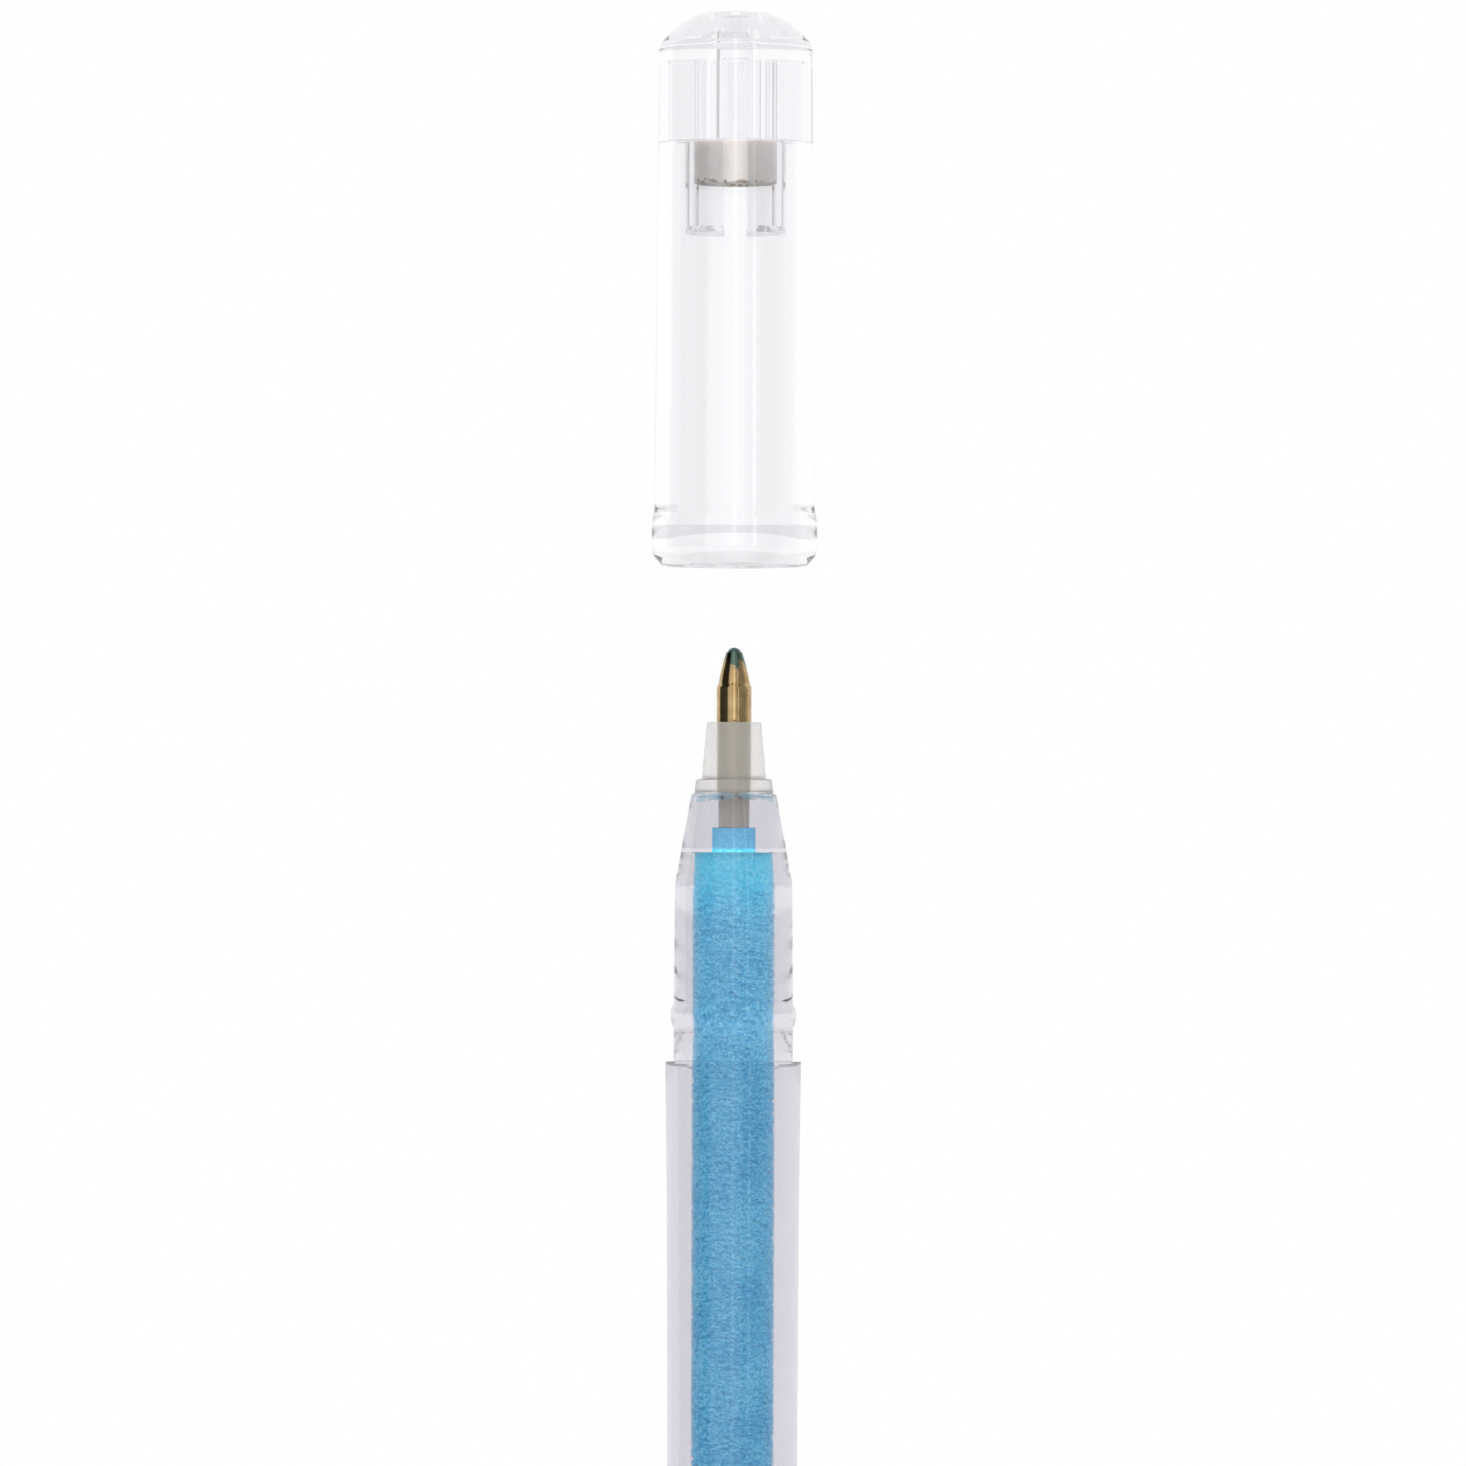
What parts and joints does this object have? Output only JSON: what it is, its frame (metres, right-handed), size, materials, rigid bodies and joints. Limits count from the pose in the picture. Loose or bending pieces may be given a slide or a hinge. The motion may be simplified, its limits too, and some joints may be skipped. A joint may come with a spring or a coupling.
{
  "type": "gel pen",
  "caption": "Capped gel pen: frosted barrel with an ink tube, brass ball tip in a milky holder, and a clear clipless cap with a tip seal.",
  "frame": {"origin": "centre of the rear end face", "axes": "+Z along the pen towards the writing tip and the cap; front is -Y"},
  "size_m": [0.011, 0.0108, 0.1797],
  "materials": {
    "frosted_polypropylene": "translucent frosted polypropylene, moulded",
    "milky_polypropylene": "milky polypropylene, moulded satin",
    "tube_polypropylene": "clear extruded polypropylene",
    "blue_gel_ink": "pigmented water-based gel ink",
    "follower_grease": "translucent grease",
    "float_resin": "plain white resin",
    "blue_polypropylene": "blue moulded polypropylene",
    "turned_brass": "bright turned brass",
    "tungsten_carbide": "ground carbide ball",
    "spring_wire": "drawn stainless wire",
    "clear_polystyrene": "clear moulded polystyrene",
    "seal_elastomer": "warm grey translucent elastomer"
  },
  "bodies": {
    "pen": {"barrel": "frosted_polypropylene", "end_plug": "blue_polypropylene", "ink_tube": "tube_polypropylene", "ink_column": "blue_gel_ink", "ink_feed": "blue_gel_ink", "tip_holder": "milky_polypropylene", "tip_body": "turned_brass", "ball_spring": "spring_wire"},
    "cap": {"cap": "clear_polystyrene", "tip_seal": "seal_elastomer"},
    "ball": {"writing_ball": "tungsten_carbide"},
    "follower": {"follower_grease": "follower_grease", "follower_float": "float_resin"}
  },
  "joints": [
    {"name": "cap_slide", "type": "slide", "parent": "pen", "child": "cap", "axis": [0, 0, 1], "range_m": [-0.03245, 0]},
    {"name": "ball_roll", "type": "hinge", "parent": "pen", "child": "ball", "pos_m": [0, 0, 0.1375], "axis": [1, 0, 0], "continuous": true},
    {"name": "follower_slide", "type": "slide", "parent": "pen", "child": "follower", "axis": [0, 0, 1], "range_m": [0, 0.088], "deforming": ["ink_column"]}
  ]
}
